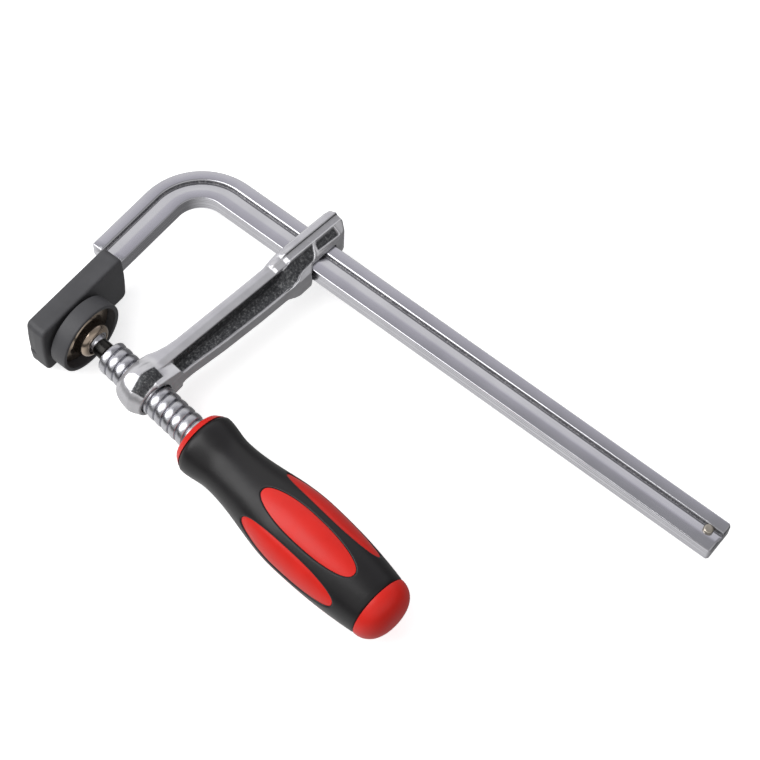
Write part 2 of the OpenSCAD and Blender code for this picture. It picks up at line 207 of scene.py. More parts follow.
def mix_color(tree, factor, first, second):
    """Colour that goes from first to second with the factor; each is a socket or a colour."""
    node = tree.nodes.new("ShaderNodeMix")
    node.data_type = "RGBA"
    tree.links.new(factor, node.inputs["Factor"])
    for socket, value in ((node.inputs["A"], first), (node.inputs["B"], second)):
        if isinstance(value, bpy.types.NodeSocket):
            tree.links.new(value, socket)
        else:
            socket.default_value = (*value, 1)
    return node.outputs["Result"]


def multiply(tree, first, second):
    """Product of two colour sockets."""
    node = tree.nodes.new("ShaderNodeMix")
    node.data_type, node.blend_type = "RGBA", "MULTIPLY"
    node.inputs["Factor"].default_value = 1.0
    tree.links.new(first, node.inputs["A"])
    tree.links.new(second, node.inputs["B"])
    return node.outputs["Result"]


def add_bump(tree, shader, height, strength, distance_mm, after=None):
    """Chains a bump onto the shader's normal; returns the node so that another can follow."""
    bump = tree.nodes.new("ShaderNodeBump")
    bump.inputs["Strength"].default_value = strength
    bump.inputs["Distance"].default_value = distance_mm * MM
    tree.links.new(height, bump.inputs["Height"])
    if after is not None:
        tree.links.new(after.outputs["Normal"], bump.inputs["Normal"])
    tree.links.new(bump.outputs["Normal"], shader.inputs["Normal"])
    return bump


def attribute(tree, name):
    """A number that the mesh keeps for each of its points, as a socket."""
    node = tree.nodes.new("ShaderNodeAttribute")
    node.attribute_name = name
    return node.outputs["Fac"]


def upward(tree):
    """How squarely a face looks up or down, 0 to 1: the ground faces of the forging do; the others are made
    darker, partly for their forged skin and partly as painted shade.
    """
    geometry = tree.nodes.new("ShaderNodeNewGeometry")
    parts = tree.nodes.new("ShaderNodeSeparateXYZ")
    size = tree.nodes.new("ShaderNodeMath")
    size.operation = "ABSOLUTE"
    tree.links.new(geometry.outputs["Normal"], parts.inputs[0])
    tree.links.new(parts.outputs["Z"], size.inputs[0])
    return size.outputs[0]


def chrome_steel():
    """Satin chrome over drawn steel: faint streaks along the bar and small handling marks."""
    material, shader, tree = new_material("chrome_steel")
    shader.inputs["Metallic"].default_value = 1.0
    streaks = noise(tree, object_coordinates(tree, (9, 260, 260)), 9.0, 5.0)
    blotches = noise(tree, object_coordinates(tree), 55.0, 3.0)
    tint = ramp(tree, blotches, [(0.3, (0.56, 0.555, 0.59)), (0.7, (0.62, 0.615, 0.65))])
    # Near-black with light speckles: painted shade for the grooves' walls, and the two darker lines on the
    # bar's sides.
    speckle = noise(tree, object_coordinates(tree), 1300.0, 4.0, 0.7)
    dark = ramp(tree, speckle, [(0.36, (0.02, 0.02, 0.023)), (0.50, (0.09, 0.09, 0.10)),
                                (0.64, (0.30, 0.29, 0.29))])
    shade_and_lines = attribute(tree, "shade_and_lines")
    tree.links.new(mix_color(tree, shade_and_lines, tint, dark), shader.inputs["Base Color"])
    polish = ramp(tree, streaks, [(0.3, 0.13), (0.7, 0.20)])
    tree.links.new(mix_color(tree, shade_and_lines, polish, (0.5, 0.5, 0.5)), shader.inputs["Roughness"])
    grain = noise(tree, object_coordinates(tree), 1500.0, 2.0)
    first = add_bump(tree, shader, streaks, 0.18, 0.05)
    add_bump(tree, shader, grain, 0.10, 0.03, first)
    return material


def forged_steel():
    """Ground faces bright and smooth, forged pockets dark and pitted; the mesh says which is which, and where
    shadow and shade are painted dark on the head.
    """
    material, shader, tree = new_material("forged_steel")
    shader.inputs["Metallic"].default_value = 0.6
    skin_and_shade = attribute(tree, "skin_and_shade")
    vector = object_coordinates(tree)
    pits = noise(tree, vector, 900.0, 4.0, 0.7)
    cloud = noise(tree, vector, 120.0, 4.0)
    bright = ramp(tree, cloud, [(0.3, (0.60, 0.595, 0.62)), (0.7, (0.70, 0.695, 0.72))])
    dark = ramp(tree, pits, [(0.34, (0.030, 0.031, 0.034)), (0.54, (0.085, 0.087, 0.092)),
                             (0.74, (0.34, 0.34, 0.34))])
    # Faces turned away from up or down lose up to a sixth of their colour: partly the sides' forged skin,
    # partly painted shade.
    smooth = multiply(tree, bright, ramp(tree, upward(tree), [(0.25, 0.84), (0.8, 1.0)]))
    # The mesh's numbers mix in the dark pitted colour: forged skin, and painted shade and a painted shadow
    # line on the head.
    tree.links.new(mix_color(tree, skin_and_shade, smooth, dark), shader.inputs["Base Color"])
    gloss = mix_color(tree, skin_and_shade, (0.25, 0.25, 0.25), (0.50, 0.50, 0.50))
    tree.links.new(gloss, shader.inputs["Roughness"])
    pit_depth = tree.nodes.new("ShaderNodeMath")
    pit_depth.operation = "MULTIPLY"
    tree.links.new(pits, pit_depth.inputs[0])
    tree.links.new(skin_and_shade, pit_depth.inputs[1])
    first = add_bump(tree, shader, pit_depth.outputs[0], 0.9, 0.25)
    add_bump(tree, shader, cloud, 0.12, 0.12, first)
    return material


def spindle_steel():
    """Rolled thread, bright on the crests; the neck at the ball is black."""
    material, shader, tree = new_material("spindle_steel")
    shader.inputs["Metallic"].default_value = 1.0
    dark = attribute(tree, "dark")
    cloud = noise(tree, object_coordinates(tree), 300.0, 4.0)
    steel = ramp(tree, cloud, [(0.3, (0.47, 0.47, 0.50)), (0.7, (0.60, 0.60, 0.63))])
    tree.links.new(mix_color(tree, dark, steel, (0.035, 0.034, 0.032)), shader.inputs["Base Color"])
    tree.links.new(ramp(tree, cloud, [(0.3, 0.22), (0.7, 0.34)]), shader.inputs["Roughness"])
    add_bump(tree, shader, cloud, 0.15, 0.12)
    return material


def nickel_steel(name, color, roughness):
    """Plated steel with a warm tint."""
    material, shader, tree = new_material(name)
    shader.inputs["Metallic"].default_value = 1.0
    cloud = noise(tree, object_coordinates(tree), 260.0, 3.0)
    lighter = tuple(min(1.0, c * 1.15) for c in color)
    tree.links.new(ramp(tree, cloud, [(0.3, color), (0.7, lighter)]), shader.inputs["Base Color"])
    tree.links.new(ramp(tree, cloud, [(0.3, roughness), (0.7, roughness + 0.1)]), shader.inputs["Roughness"])
    add_bump(tree, shader, cloud, 0.08, 0.06)
    return material


def moulded(name, color, roughness, grain_scale, grain_mm, variation=0.12):
    """Moulded plastic or rubber: fine spark-eroded grain and slight unevenness of colour."""
    material, shader, tree = new_material(name)
    vector = object_coordinates(tree)
    cloud = noise(tree, vector, 90.0, 4.0)
    low = tuple(c * (1 - variation) for c in color)
    high = tuple(min(1.0, c * (1 + variation)) for c in color)
    tree.links.new(ramp(tree, cloud, [(0.3, low), (0.7, high)]), shader.inputs["Base Color"])
    tree.links.new(ramp(tree, cloud, [(0.3, roughness - 0.04), (0.7, roughness + 0.06)]),
                   shader.inputs["Roughness"])
    shader.inputs["Specular IOR Level"].default_value = 0.4
    add_bump(tree, shader, noise(tree, vector, grain_scale, 2.0), 0.5, grain_mm)
    return material


# ---------------------------------------------------------------- mesh making


def make_piece(name, points_mm, faces, body, node, material, slot, sharp_deg=35, place=Matrix.Identity(4)):
    """A mesh object from points in millimetres, smooth-shaded except at its sharp edges."""
    mesh = bpy.data.meshes.new(name)
    mesh.from_pydata([tuple(p) for p in (np.asarray(points_mm, float) * MM)], [], faces)
    mesh.transform(place)
    mesh.validate()
    mesh.update()
    mesh.shade_smooth()
    mesh.set_sharp_from_angle(angle=math.radians(sharp_deg))
    mesh.materials.append(material)
    piece = bpy.data.objects.new(name, mesh)
    bpy.context.scene.collection.objects.link(piece)
    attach(piece, body)
    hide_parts(node)
    return piece


def join(first, second):
    """Two lots of (points, faces) as one."""
    shift = len(first[0])
    return first[0] + second[0], first[1] + [tuple(v + shift for v in face) for face in second[1]]


def set_attribute(piece, name, values):
    """A number for each point of the mesh, which the material reads."""
    layer = piece.data.attributes.new(name, "FLOAT", "POINT")
    layer.data.foreach_set("value", np.asarray(values, np.float32))


def bridge(rows, columns, flip=False):
    """Quads between closed rings of points kept ring by ring."""
    faces = []
    for r in range(rows - 1):
        for c in range(columns):
            a, b = r * columns + c, r * columns + (c + 1) % columns
            faces.append((a, a + columns, b + columns, b) if flip else (a, b, b + columns, a + columns))
    return faces


def revolve(profile, steps=96):
    """Closed solid of revolution about x from (x, r) points, first and last on the axis."""
    inner = profile[1:-1]
    points = [(x, r * math.cos(a), r * math.sin(a)) for x, r in inner
              for a in (2 * math.pi * k / steps for k in range(steps))]
    faces = bridge(len(inner), steps, flip=True)
    first, last = len(points), len(points) + 1
    points += [(profile[0][0], 0, 0), (profile[-1][0], 0, 0)]
    base = (len(inner) - 1) * steps
    faces += [(first, k, (k + 1) % steps) for k in range(steps)]
    faces += [(last, base + (k + 1) % steps, base + k) for k in range(steps)]
    return points, faces


def rounded(profile, radius, steps=4):
    """Replaces each inner corner of an open 2D line by an arc of about that radius."""
    out = [profile[0]]
    for before, here, after in zip(profile, profile[1:], profile[2:]):
        a, b, c = np.array(before), np.array(here), np.array(after)
        reach = min(radius, 0.45 * np.linalg.norm(a - b), 0.45 * np.linalg.norm(c - b))
        start = b + (a - b) / np.linalg.norm(a - b) * reach
        end = b + (c - b) / np.linalg.norm(c - b) * reach
        for k in range(steps + 1):
            t = k / steps
            out.append(tuple((1 - t) ** 2 * start + 2 * t * (1 - t) * b + t ** 2 * end))
    out.append(profile[-1])
    return out


def surface_net(field, low, step):
    """Quads over the zero level of a sampled field that is negative inside."""
    inside = field < 0
    n = np.array(field.shape)
    offsets = np.array([[i, j, k] for i in (0, 1) for j in (0, 1) for k in (0, 1)])
    count = sum(inside[i:n[0] - 1 + i, j:n[1] - 1 + j, k:n[2] - 1 + k].astype(np.int8) for i, j, k in offsets)
    cells = np.argwhere((count > 0) & (count < 8))
    index = -np.ones(n - 1, int)
    index[tuple(cells.T)] = np.arange(len(cells))
    values = np.stack([field[tuple((cells + o).T)] for o in offsets], 1)
    total, hits = np.zeros((len(cells), 3)), np.zeros(len(cells))
    for a in range(8):
        for b in range(a + 1, 8):
            if np.abs(offsets[a] - offsets[b]).sum() != 1:
                continue
            crossing = (values[:, a] < 0) != (values[:, b] < 0)
            t = values[crossing, a] / (values[crossing, a] - values[crossing, b])
            total[crossing] += offsets[a] + t[:, None] * (offsets[b] - offsets[a])
            hits[crossing] += 1
    points = np.asarray(low) + step * (cells + total / hits[:, None])
    quads = []
    for axis in range(3):
        u, v = np.eye(3, dtype=int)[(axis + 1) % 3], np.eye(3, dtype=int)[(axis + 2) % 3]
        near = inside[tuple(slice(0, n[k] - 1) if k == axis else slice(1, n[k] - 1) for k in range(3))]
        far = inside[tuple(slice(1, n[k]) if k == axis else slice(1, n[k] - 1) for k in range(3))]
        for solid_near in (True, False):
            edges = np.argwhere((near == solid_near) & (far != solid_near)) + u + v
            ring = [edges - u - v, edges - v, edges, edges - u]
            ids = np.stack([index[tuple(r.T)] for r in ring], 1)
            quads.append(ids if solid_near else ids[:, ::-1])
    return points, np.concatenate(quads)


def relax(points, quads, rounds):
    """Laplacian smoothing along the mesh's edges."""
    edges = np.concatenate([quads[:, [k, (k + 1) % 4]] for k in range(4)])
    edges = np.unique(np.sort(edges, 1), axis=0)
    degree = np.bincount(edges.ravel(), minlength=len(points))
    for _ in range(rounds):
        total = np.zeros_like(points)
        for a, b in ((0, 1), (1, 0)):
            for k in range(3):
                total[:, k] += np.bincount(edges[:, a], weights=points[edges[:, b], k], minlength=len(points))
        points = points + 0.5 * (total / degree[:, None] - points)
    return points


def value_noise(x, y, z, cell, seed):
    """Smooth noise from -1 to 1 with features about one cell across."""
    size = 32
    table = np.random.default_rng(seed).uniform(-1, 1, (size, size, size))
    result = 0.0
    whole = [np.floor(v / cell).astype(int) for v in (x, y, z)]
    part = [v / cell - w for v, w in zip((x, y, z), whole)]
    part = [p * p * (3 - 2 * p) for p in part]
    for i in (0, 1):
        for j in (0, 1):
            for k in (0, 1):
                weight = ((part[0] if i else 1 - part[0]) * (part[1] if j else 1 - part[1])
                          * (part[2] if k else 1 - part[2]))
                place = tuple((w + step) % size for w, step in zip(whole, (i, j, k)))
                result = result + weight * table[place]
    return result


def polygon_distance(x, y, corners):
    """Signed distance from a polygon in the plane, negative inside."""
    best, inside = np.full(np.shape(x), 1e9), np.zeros(np.shape(x), bool)
    for (ax, ay), (bx, by) in zip(corners, corners[1:] + corners[:1]):
        ex, ey = bx - ax, by - ay
        t = np.clip(((x - ax) * ex + (y - ay) * ey) / (ex * ex + ey * ey), 0, 1)
        best = np.minimum(best, np.hypot(x - ax - t * ex, y - ay - t * ey))
        if ay != by:
            inside ^= ((ay > y) != (by > y)) & (x < ex * (y - ay) / ey + ax)
    return np.where(inside, -best, best)


def blend_max(a, b, width):
    """Largest of two fields, with the corner rounded over a width."""
    h = np.clip(width - np.abs(a - b), 0, None)
    return np.maximum(a, b) + h * h / (4 * width)


def blend_min(a, b, width):
    """Smallest of two fields, with the corner filled over a width."""
    return -blend_max(-a, -b, width)


def round_max(a, b, radius):
    """What two solids share, with the edge between them rounded to a radius."""
    outside = np.hypot(np.maximum(a + radius, 0), np.maximum(b + radius, 0))
    return outside - radius + np.minimum(np.maximum(a + radius, b + radius), 0)


def step_up(value, start, end):
    """Smooth rise from 0 to 1."""
    t = np.clip((value - start) / (end - start), 0, 1)
    return t * t * (3 - 2 * t)


def grid(low, high, step):
    """Sample points of a box: three full arrays and the lowest corner."""
    low = np.array(low, float)
    counts = np.ceil((np.array(high) - low) / step).astype(int) + 1
    axes = [low[k] + step * np.arange(counts[k]) for k in range(3)]
    return np.meshgrid(*axes, indexing="ij"), low


# ---------------------------------------------------------------- frame values

joints = {joint["name"]: joint for joint in frame["joints"]}
ball_mm = Vector(joints["handle_turn"]["pos_m"]) / MM
spindle_way = Vector(joints["handle_turn"]["axis"]).normalized()
lean = math.atan2(-spindle_way.y, spindle_way.x)
on_spindle = Matrix.Translation(ball_mm * MM) @ Matrix.Rotation(-lean, 4, "Z")
boss_station = 34.7
on_arm = on_spindle @ Matrix.Translation((boss_station * MM, 0, 0))
bar_low, bar_high = (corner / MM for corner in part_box("bar"))

BAR_WIDTH, BAR_THICK = 17.0, 8.9
THROAT = bar_high.y - BAR_WIDTH
JAW_INNER = bar_low.x + BAR_WIDTH


# ---------------------------------------------------------------- bar


def bar_section(inset):
    """Points round the bar's section as (across, z), inset all round; across is 0 at the inner edge."""
    half, edge, radius = BAR_THICK / 2 - inset, inset, 0.7
    mouth, floor_half, depth = 2.9, 1.9, 1.5
    middle = BAR_WIDTH / 2
    floor_z = BAR_THICK / 2 - depth
    slope = (mouth - floor_half) / depth
    mouth_now = floor_half + slope * (half - floor_z)
    upper = [(edge, 3.0), (edge, half), (middle - mouth_now, half), (middle + 0.8, floor_z + 0.4),
             (middle + floor_half, floor_z), (middle + mouth_now, half),
             (BAR_WIDTH - edge, half), (BAR_WIDTH - edge, 3.0)]
    side_heights = [0.0, 1.1, 1.3, 1.5, 2.5, 2.7, 3.0]
    out = [(edge, z) for z in side_heights]
    radii = [radius, 1.0, 1.4, 0.9, 0.6, radius]
    for before, here, after, r in zip(upper, upper[1:], upper[2:], radii):
        out += rounded([before, here, after], r)[1:-1]
    out += [(BAR_WIDTH - edge, z) for z in reversed(side_heights)]
    lower = [(w, -z) for w, z in reversed(out[1:-1])]
    return out + lower


def groove_shade_and_lines(across, z):
    """How much darker and less polished the bar is painted: painted shade, most on a groove's steep wall,
    less on its floor and on two darker lines along each side."""
    from_middle = across - BAR_WIDTH / 2
    if abs(from_middle) < 3:
        depth = BAR_THICK / 2 - abs(z)
        return (0.9 if from_middle > 1.7 else 0.5 if from_middle > 0.9 else 0.0) if depth > 0.45 else 0.0
    on_side = abs(from_middle) > BAR_WIDTH / 2 - 0.1
    return {1.3: 0.75, 2.7: 0.6}.get(round(abs(z), 1), 0.06) if on_side and abs(z) < 3.1 else 0.0


def bar_stations():
    """Pairs of inner-edge and outer-edge points, from the jaw's end round the bend to the free end."""
    jaw_end, bend_steps = 36.0, 40
    outer_r, inner_r = 34.0, 13.5
    outer_mid = np.array([bar_low.x + outer_r, bar_high.y - outer_r])
    inner_mid = np.array([JAW_INNER + inner_r, THROAT - inner_r])
    stations = []
    for t in np.linspace(0, 1, 10)[:-1]:
        y_in = jaw_end + t * (inner_mid[1] - jaw_end)
        y_out = jaw_end + t * (outer_mid[1] - jaw_end)
        stations.append(((JAW_INNER, y_in), (bar_low.x, y_out)))
    for k in range(bend_steps + 1):
        way = math.pi - math.pi / 2 * k / bend_steps
        spoke = np.array([math.cos(way), math.sin(way)])
        stations.append((tuple(inner_mid + inner_r * spoke), tuple(outer_mid + outer_r * spoke)))
    for t in np.linspace(0, 1, 24)[1:]:
        x_in = inner_mid[0] + t * (bar_high.x - inner_mid[0])
        x_out = outer_mid[0] + t * (bar_high.x - outer_mid[0])
        stations.append(((x_in, THROAT), (x_out, bar_high.y)))
    return stations


def make_bar(material):
    """The bent bar, rounded at the jaw's end and chamfered at the free end, with the jaw's foot."""
    chamfer = 1.0
    stations = bar_stations()
    first_in, first_out = stations[0]
    end_in, end_out = stations[-1]
    plan = []
    for back, inset in ((0.0, 0.5), (0.15, 0.15), (0.5, 0.0)):
        plan.append((((first_in[0], first_in[1] + back), (first_out[0], first_out[1] + back)), inset))
    plan += [(station, 0.0) for station in stations[1:-1]]
    for back, inset in ((chamfer + 0.25, 0.0), (chamfer, 0.03), (0.25, chamfer - 0.35), (0.0, chamfer)):
        plan.append((((end_in[0] - back, end_in[1]), (end_out[0] - back, end_out[1])), inset))
    points, shade_and_lines = [], []
    for (inner, outer), inset in plan:
        inner, outer = np.array(inner), np.array(outer)
        for across, z in bar_section(inset):
            place = inner + (outer - inner) * across / BAR_WIDTH
            points.append((place[0], place[1], z))
            shade_and_lines.append(groove_shade_and_lines(across, z))
    rows = len(plan)
    columns = len(points) // rows
    faces = bridge(rows, columns)
    faces += [tuple(range(columns))[::-1], tuple(range((rows - 1) * columns, rows * columns))]
    points, faces = join((points, faces), bar_foot())
    bar = make_piece("bar_body", points, faces, "bar", "bar", material, "chrome_steel")
    # These numbers paint shade in the grooves and two darker lines along each side of the bar.
    set_attribute(bar, "shade_and_lines", shade_and_lines + [0.0] * (len(points) - len(shade_and_lines)))


def prism(outline, low, high):
    """Closed prism over an outline, counter-clockwise, between two heights."""
    n = len(outline)
    points = [(x, y, low) for x, y in outline] + [(x, y, high) for x, y in outline]
    faces = bridge(2, n)
    return points, faces + [tuple(range(n))[::-1], tuple(range(n, 2 * n))]


def bar_foot():
    """The jaw's neck, rib and plate that the plastic cap hides."""
    half = BAR_THICK / 2
    cap_low, cap_high = (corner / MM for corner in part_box("jaw_cap"))
    wall = 2.0
    rib = [(JAW_INNER - 0.02, 2.0), (JAW_INNER - 0.02, 37.0), (-13.9, 37.0), (-13.9, 30.5), (-9.6, 4.5),
           (-7.5, 2.0)]
    plate = [(cap_low.x + wall + 0.2, cap_low.y + wall), (-wall, cap_low.y + wall),
             (-wall, cap_high.y - wall), (cap_low.x + wall + 0.2, cap_high.y - wall)]
    return join(prism(rib, -half + 0.05, half - 0.05), prism(plate, cap_low.z + wall, cap_high.z - wall))


def make_stop_pin(material):
    """Domed pin through the bar's free end."""
    low, high = (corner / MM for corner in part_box("stop_pin"))
    radius, half = (high.x - low.x) / 2, high.z
    line = [(-half, 0), (-half, radius - 0.9), (-half + 0.25, radius - 0.35), (-half + 0.8, radius),
            (half - 0.8, radius), (half - 0.25, radius - 0.35), (half, radius - 0.9), (half, 0)]
    points, faces = revolve(rounded(line, 0.4), 48)
    place = (Matrix.Translation(Vector(((low.x + high.x) / 2, (low.y + high.y) / 2, 0)) * MM)
             @ Matrix.Rotation(-math.pi / 2, 4, "Y"))
    make_piece("stop_pin_domed", points, faces, "bar", "stop_pin", material, "pin_steel", 40, place)


def make_jaw_cap(material):
    """Moulded cap over the fixed jaw's foot: soft edges, bulging ends, a channel and a slit in one end."""
    low, high = (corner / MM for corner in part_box("jaw_cap"))
    step, margin = 0.36, Vector((1, 1, 1))
    (x, y, z), start = grid(low - margin, high + margin, step)
    bulge, corner_r, front_r, back_r = 0.9, 3.0, 1.3, 2.2
    slit_z, slit_end = -5.2, low.x + 4.8
    middle, half_y = (low.y + high.y) / 2, (high.y - low.y) / 2
    lip = 0.35 * step_up(z, slit_z - 0.2, slit_z + 0.2) * step_up(slit_end + 1.0 - x, 0, 3.0) * (y < middle)
    ends = np.abs(y - middle) - half_y + bulge * (z / high.z) ** 2 + lip
    body = round_max(np.abs(z) - high.z, ends, corner_r)
    body = round_max(body, x - high.x, front_r)
    body = round_max(body, low.x - x, back_r)
    half = BAR_THICK / 2 + 0.25
    channel = np.maximum(np.maximum(np.abs(z) - half, -0.3 - y), x - JAW_INNER - 0.25)
    slit = np.maximum(np.maximum(np.abs(z - slit_z) - 0.55, x - slit_end), y - low.y - 3.2)
    field = blend_max(body, -channel, 0.5)
    field = blend_max(field, -slit, 0.2)
    points, quads = surface_net(field, start, step)
    points = relax(points, quads, 2)
    make_piece("jaw_cap_moulded", points, quads.tolist(), "bar", "jaw_cap", material, "cap_plastic", 60)


# ---------------------------------------------------------------- sliding arm

# Lines of the arm in its own frame: the beam's edges give x over y, the head's top gives half its
# thickness over x and the boss gives its radius over x. The pockets and the patch are (x, y) corners.
RIGHT_EDGE = ([4, 22, 40, 63, 80, 84, 87, 94, 98, 123],
              [9.0, 9.0, 10.2, 10.9, 10.9, 11.9, 12.6, 12.3, 9.2, 8.4])
LEFT_EDGE = ([4, 9, 13, 18, 24, 78, 82, 86, 92, 123],
             [-7.8, -7.6, -6.0, -4.9, -4.3, -4.1, -4.8, -5.0, -4.7, -4.7])
HEAD_TOP = ([-0.95, -0.6, 2.2, 2.4, 2.7, 2.95, 9.0, 12.5], [12.5, 11.3, 10.9, 11.15, 11.15, 10.6, 6.6, 6.2])
BOSS_LINE = ([-8, -7.65, -6.5, -5.3, -3, 0, 2.3, 4.2, 6.1, 8],
             [9.6, 10, 10.8, 11.4, 12, 12.4, 12.5, 11.8, 10.8, 10])
POCKET_UPPER = [(2.9, 116.6), (6.6, 116.8), (6.4, 110.0), (6.2, 103.7), (4.0, 104.3), (2.9, 105.6)]
POCKET_LOWER = [(2.8, 76), (2.8, 96), (2.7, 103.2), (4.2, 102.3), (6.6, 100.7), (8.1, 98.9), (8.4, 95.0),
                (8.5, 92.2), (8.9, 89.6), (10.7, 86.4), (11.0, 83.0), (10.0, 76)]
BOSS_PATCH = [(-0.3, -0.7), (1.6, -8.6), (7.7, -6.4), (6.2, 7.1), (0.1, 7.0)]


def arm_height(x, y):
    """Half thickness of the arm outside its boss, at each point of its plan, and how dark and pitted it is:
    forged skin, plus a painted shadow line and painted shade on the head's top.
    """
    from_right = np.interp(y, *RIGHT_EDGE) - x
    beam = np.interp(x, [-0.8, 2.35, 2.8], [9.5, 8.9, 2.5])
    rim = 3.8 - 1.3 * step_up(from_right, 0.9, 1.5)
    beam = np.maximum(beam, np.where(x > 2.5, rim, 0))
    pocket = np.minimum(polygon_distance(x, y, POCKET_UPPER), polygon_distance(x, y, POCKET_LOWER))
    in_pocket = 1 - step_up(pocket, -0.4, 0.1)
    head = np.interp(x, *HEAD_TOP) - 1.0 * in_pocket
    facets = np.interp(y, [80.2, 81.9, 87.0, 89.2], [0, 0.40, 0.45, 1])
    shoulder = step_up(y, 76, 97)
    facets = shoulder + (facets - shoulder) * step_up(x, -3.4, -1.0)
    rise = facets + (step_up(y, 78.5, 87.0) - facets) * step_up(x, 2.4, 3.0)
    bead = 0.35 * np.exp(-((pocket - 0.5) / 0.35) ** 2) * step_up(x, 2.2, 3.0)
    web_pocket = np.minimum(np.minimum(x - 2.4, from_right - 1.4), np.minimum(y - 15.8, 84 - y))
    skin_and_shade = np.maximum(step_up(web_pocket, -0.1, 0.3), in_pocket * step_up(y, 78, 80))
    # Painted shade on the sloping band of the head's top, and a painted shadow line along the step beside it.
    shaded_strip = 0.3 * step_up(x, -0.7, -0.5) * (1 - step_up(x, 2.0, 2.3)) * step_up(y, 88, 90)
    line = 0.9 * np.exp(-((x + 0.75) / 0.22) ** 2) * step_up(y, 88.5, 90)
    return beam + (head + bead - beam) * rise, np.maximum(skin_and_shade, np.maximum(shaded_strip, line))


def boss_patch(x, y, z):
    """How far a point lies in the forged patch on top of the boss, 0 to 1."""
    return (1 - step_up(polygon_distance(x, y, BOSS_PATCH), -0.3, 0.15)) * step_up(np.abs(z), 5.0, 6.5)


def make_arm(material):
    """The forged arm: boss, T-shaped beam with forged pockets, and the head with its slot."""
    step = 0.32
    slot_half, slot_shift, slot_gap, bore_r = 9.65, 0.3, 0.35, 8.45
    (x, y, z), start = grid((-9, -15, -14), (15, 125, 14), step)
    flat_x, flat_y, tall = x[:, :, :1], y[:, :, :1], np.abs(z)
    height, skin_and_shade = arm_height(flat_x, flat_y)
    right, left = np.interp(flat_y, *RIGHT_EDGE), np.interp(flat_y, *LEFT_EDGE)
    grain = 0.11 * value_noise(x, y, z, 0.9, RNG_SEED) + 0.07 * value_noise(x, y, z, 0.45, RNG_SEED + 1)
    outer_end = polygon_distance(flat_x, flat_y, [
        (-11, 4), (14, 4), (14, 110), (10.5, 115), (6.5, 120.5), (3.0, 122.6), (-1.5, 122.6), (-4.3, 121.0),
        (-5.0, 118.6), (-11, 117.5)])
    body = blend_max(tall - height, left - x, 0.8)
    side = x - right + 0.8 * step_up(flat_y, 78, 90) * (tall / 7) ** 2 + 0.02 * (tall - 3.7)
    body = blend_max(body, side, 1.0)
    body = blend_max(body, outer_end, 1.2)
    around = np.hypot(y, z)
    barrel = blend_max(around - np.interp(x, *BOSS_LINE), np.abs(x) - 8, 0.6)
    ledge_height = np.interp(flat_y, [0, 9.5, 15.3, 16.6], [11.0, 8.6, 7.2, 2.4])
    ledge = np.maximum(tall - ledge_height, np.maximum(-2 - x, x - right + 0.3))
    ledge = np.maximum(ledge, np.abs(y - 10) - 8)
    solid = blend_min(blend_min(np.maximum(body, 5.0 - y), ledge, 1.0), barrel, 2.4)
    facet = -0.10 * x - 0.42 * y + 0.90 * tall - 11.8
    solid = np.maximum(solid, facet)
    patch = boss_patch(x, y, z)
    solid = solid + 0.35 * patch
    slot_middle = (THROAT + BAR_WIDTH / 2 + boss_station * math.sin(lean)) / math.cos(lean)
    slot = np.maximum(np.abs(y - slot_middle - slot_shift) - slot_half, tall - BAR_THICK / 2 - slot_gap)
    solid = blend_max(solid, -slot, 0.5)
    solid = blend_max(solid, bore_r - around, 0.7)
    solid = solid + grain * np.maximum(skin_and_shade * (tall > 2.0), patch)
    points, quads = surface_net(solid, start, step)
    points = relax(points, quads, 1)
    arm = make_piece("sliding_arm_forged", points, quads.tolist(), "arm", "sliding_arm", material,
                     "forged_steel", 70, on_arm)
    # The numbers for the material: forged skin, and the painted shadow line and painted shade on the head's
    # top.
    px, py, pz = points.T
    vertex_skin_and_shade = arm_height(px, py)[1]
    on_top = step_up(np.abs(pz) - arm_height(px + 0.6, py)[0], -1.1, -0.5)
    marks = np.maximum(vertex_skin_and_shade * on_top * (py > 12), boss_patch(px, py, pz) * (np.hypot(py, pz) > 9.2))
    up_wall = step_up(np.abs(pz), 2.0, 2.4) * (1 - step_up(np.abs(pz), 8.0, 8.5))
    wall = up_wall * step_up(px, 2.0, 2.3) * (1 - step_up(px, 2.9, 3.2))
    marks = np.maximum(marks, wall * step_up(py, 15.8, 16.4) * (1 - step_up(py, 84, 86)))
    set_attribute(arm, "skin_and_shade", marks)


# ---------------------------------------------------------------- spindle and pad

THREAD_PITCH, CREST_R, ROOT_R = 4.6, 8.1, 6.55


def thread_radius(turn):
    """Radius of the rolled thread at a fraction of one turn: broad crest, narrow root."""
    from_crest = abs((turn % 1.0) - 0.5)
    shoulder, sag = 0.35, 0.20
    if from_crest < shoulder:
        return CREST_R - sag * (from_crest / shoulder) ** 2
    return CREST_R - sag - (CREST_R - sag - ROOT_R) * float(step_up(from_crest, shoulder, 0.48))


